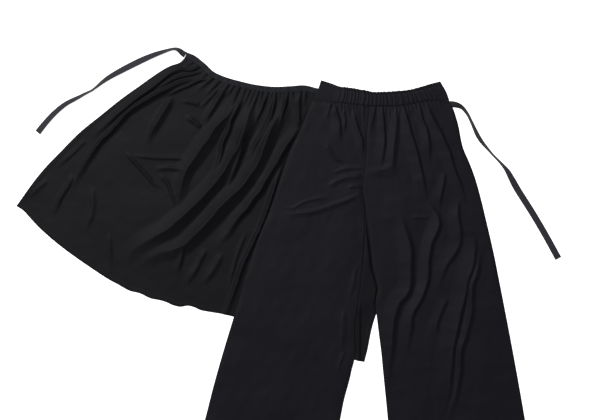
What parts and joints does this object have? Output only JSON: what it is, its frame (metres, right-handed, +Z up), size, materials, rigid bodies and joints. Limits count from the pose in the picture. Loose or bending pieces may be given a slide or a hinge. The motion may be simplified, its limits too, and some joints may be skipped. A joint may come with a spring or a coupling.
{
  "type": "wrap trousers",
  "caption": "Black wide-leg trousers with a gathered elastic waistband and an attached gathered wrap skirt with narrow ties, laid flat front up.",
  "frame": {"origin": "middle of the laid-out garment's bounding box, on the surface it lies on", "axes": "+X across the cloth towards the wearer's left leg, +Y from the hems to the waist, +Z up from the surface"},
  "size_m": [1.3571, 1.0023, 0.0151],
  "materials": {
    "cloth": "smooth black woven cloth with a faint sheen",
    "waistband": "the same cloth, puckered over elastic",
    "skirt_cloth": "the same black woven cloth, gathered",
    "tie": "the same cloth, folded into a narrow strip"
  },
  "bodies": {
    "root": {"trouser_front_right": "cloth", "trouser_front_left": "cloth", "trouser_back_right": "cloth", "trouser_back_left": "cloth", "waistband_front": "waistband", "waistband_back": "waistband", "skirt_panel": "skirt_cloth", "skirt_band": "skirt_cloth", "tie_right": "tie", "tie_left": "tie"}
  },
  "joints": []
}
